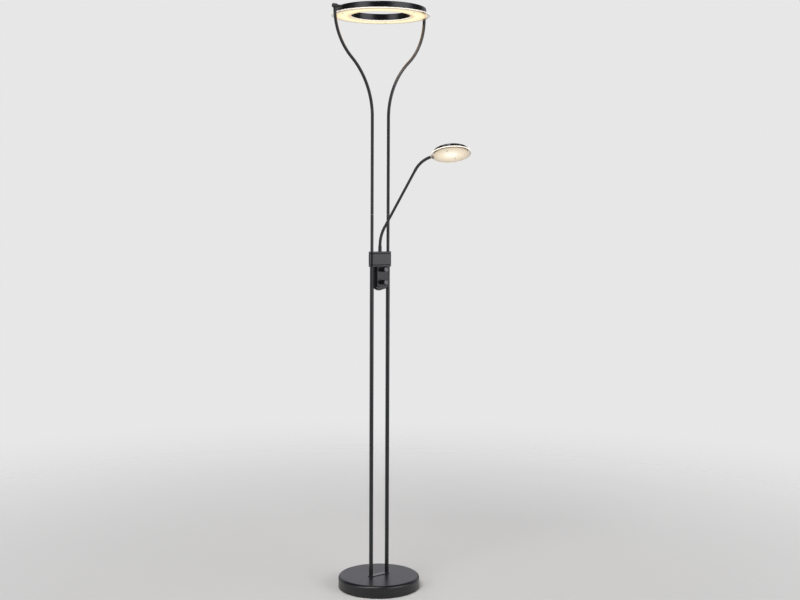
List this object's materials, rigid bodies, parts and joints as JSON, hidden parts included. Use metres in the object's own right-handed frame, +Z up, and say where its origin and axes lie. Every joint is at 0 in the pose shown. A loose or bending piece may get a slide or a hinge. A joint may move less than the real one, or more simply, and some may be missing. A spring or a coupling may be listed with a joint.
{
  "type": "torchiere floor lamp",
  "caption": "Floor lamp: round weighted base, two rods, fork with tilting LED ring, flexible reading arm with LED disc head, and a dimmer box with knobs on the collar.",
  "frame": {"origin": "middle of the round base at floor level", "axes": "+Z up, rods and fork in the XZ plane, -Y front with the dimmer knobs, +X right seen from the front"},
  "size_m": [0.361, 0.413, 1.8],
  "materials": {
    "black_paint": "satin black powder coat",
    "black_plastic": "matte black moulded plastic",
    "neck_steel": "matte black ribbed flexible steel tube",
    "rubber_black": "matte black rubber",
    "zinc_steel": "zinc plated sheet",
    "plain_steel": "plated steel hardware",
    "raw_iron": "as-cast iron with thin primer",
    "board_green": "green solder mask",
    "diffuser_acrylic": "opal acrylic with a clear polished edge, lit warm white"
  },
  "bodies": {
    "stand": {"floor_pad": "rubber_black", "base_plate": "zinc_steel", "base_weight": "raw_iron", "base_cover": "black_paint", "cord_gland": "rubber_black", "foot_plate": "black_paint", "rod_studs": "plain_steel", "rod_washers": "plain_steel", "rod_nuts": "plain_steel", "lower_rod_left": "black_paint", "lower_rod_right": "black_paint", "collar_bottom_cap": "black_paint", "collar_body": "black_paint", "collar_top_cap": "black_paint", "collar_screws": "plain_steel", "rod_set_screws": "plain_steel", "upper_rod_left": "black_paint", "upper_rod_right": "black_paint", "rod_joiners": "plain_steel", "fork_arm_left": "black_paint", "fork_arm_right": "black_paint", "fork_knuckles": "black_paint", "fork_caps": "black_paint", "dimmer_back": "black_plastic", "dimmer_cover": "black_plastic", "dimmer_screws": "plain_steel", "dimmer_board": "board_green", "dial_bodies": "plain_steel", "dial_nuts": "plain_steel"},
    "ring_head": {"pivot_pins": "plain_steel", "pivot_washers": "black_plastic", "pivot_sleeves": "black_paint", "pivot_nuts": "plain_steel", "ring_housing": "black_paint", "ring_board": "board_green", "ring_diffuser": "diffuser_acrylic", "ring_screws": "plain_steel"},
    "upper_dial": {"upper_dial_shaft": "plain_steel", "upper_knob": "black_plastic"},
    "lower_dial": {"lower_dial_shaft": "plain_steel", "lower_knob": "black_plastic"},
    "arm_foot": {"arm_ferrule": "black_paint", "arm_nut": "plain_steel", "lower_neck_root": "neck_steel"},
    "low_link_1": {"lower_neck_1": "neck_steel"},
    "low_link_2": {"lower_neck_2": "neck_steel"},
    "low_link_3": {"lower_neck_3": "neck_steel"},
    "low_link_4": {"lower_neck_4": "neck_steel"},
    "tube": {"arm_tube": "black_paint"},
    "top_link_1": {"upper_neck_1": "neck_steel"},
    "top_link_2": {"upper_neck_2": "neck_steel"},
    "top_link_3": {"upper_neck_3": "neck_steel"},
    "top_link_4": {"upper_neck_4": "neck_steel"},
    "top_link_5": {"upper_neck_5": "neck_steel"},
    "arm_tip": {"head_socket": "black_paint"},
    "reading_head": {"head_housing": "black_paint", "head_board": "board_green", "head_diffuser": "diffuser_acrylic", "head_screws": "plain_steel"}
  },
  "joints": [
    {"name": "ring_tilt", "type": "hinge", "parent": "stand", "child": "ring_head", "pos_m": [0, 0, 1.791], "axis": [1, 0, 0], "range_deg": [-175, 175]},
    {"name": "upper_knob_turn", "type": "hinge", "parent": "stand", "child": "upper_dial", "pos_m": [0, -0.024, 1.0032], "axis": [0, -1, 0], "range_deg": [0, 280]},
    {"name": "lower_knob_turn", "type": "hinge", "parent": "stand", "child": "lower_dial", "pos_m": [0, -0.024, 0.9637], "axis": [0, -1, 0], "range_deg": [0, 280]},
    {"name": "arm_swivel", "type": "hinge", "parent": "stand", "child": "arm_foot", "pos_m": [0, 0, 1.058], "axis": [0, 0, 1], "range_deg": [-90, 30]},
    {"name": "lower_bend_1", "type": "hinge", "parent": "arm_foot", "child": "low_link_1", "pos_m": [0, 0, 1.0822], "axis": [0.866, 0.5, 0], "range_deg": [-3.6, 7]},
    {"name": "lower_bend_2", "type": "hinge", "parent": "low_link_1", "child": "low_link_2", "pos_m": [0.00063, -0.00109, 1.09413], "axis": [0.866, 0.5, 0], "range_deg": [-3.6, 7]},
    {"name": "lower_bend_3", "type": "hinge", "parent": "low_link_2", "child": "low_link_3", "pos_m": [0.00187, -0.00325, 1.10587], "axis": [0.866, 0.5, 0], "range_deg": [-3.6, 7]},
    {"name": "lower_bend_4", "type": "hinge", "parent": "low_link_3", "child": "low_link_4", "pos_m": [0.00373, -0.00646, 1.11729], "axis": [0.866, 0.5, 0], "range_deg": [-3.6, 7]},
    {"name": "lower_bend_5", "type": "hinge", "parent": "low_link_4", "child": "tube", "pos_m": [0.00617, -0.01069, 1.12825], "axis": [0.866, 0.5, 0], "range_deg": [-3.6, 7]},
    {"name": "upper_bend_1", "type": "hinge", "parent": "tube", "child": "top_link_1", "pos_m": [0.05942, -0.10292, 1.31271], "axis": [0.866, 0.5, 0], "range_deg": [-5.1, 4.9]},
    {"name": "upper_bend_2", "type": "hinge", "parent": "top_link_1", "child": "top_link_2", "pos_m": [0.06312, -0.10933, 1.32215], "axis": [0.866, 0.5, 0], "range_deg": [-5.1, 4.9]},
    {"name": "upper_bend_3", "type": "hinge", "parent": "top_link_2", "child": "top_link_3", "pos_m": [0.06745, -0.11683, 1.33046], "axis": [0.866, 0.5, 0], "range_deg": [-5.1, 4.9]},
    {"name": "upper_bend_4", "type": "hinge", "parent": "top_link_3", "child": "top_link_4", "pos_m": [0.07232, -0.12527, 1.33746], "axis": [0.866, 0.5, 0], "range_deg": [-5.1, 4.9]},
    {"name": "upper_bend_5", "type": "hinge", "parent": "top_link_4", "child": "top_link_5", "pos_m": [0.07764, -0.13448, 1.34302], "axis": [0.866, 0.5, 0], "range_deg": [-5.1, 4.9]},
    {"name": "upper_bend_6", "type": "hinge", "parent": "top_link_5", "child": "arm_tip", "pos_m": [0.0833, -0.14428, 1.34703], "axis": [0.866, 0.5, 0], "range_deg": [-5.1, 4.9]},
    {"name": "head_roll", "type": "hinge", "parent": "arm_tip", "child": "reading_head", "pos_m": [0.09001, -0.15591, 1.34973], "axis": [0.4901, -0.8489, 0.1977], "range_deg": [-60, 60]}
  ]
}
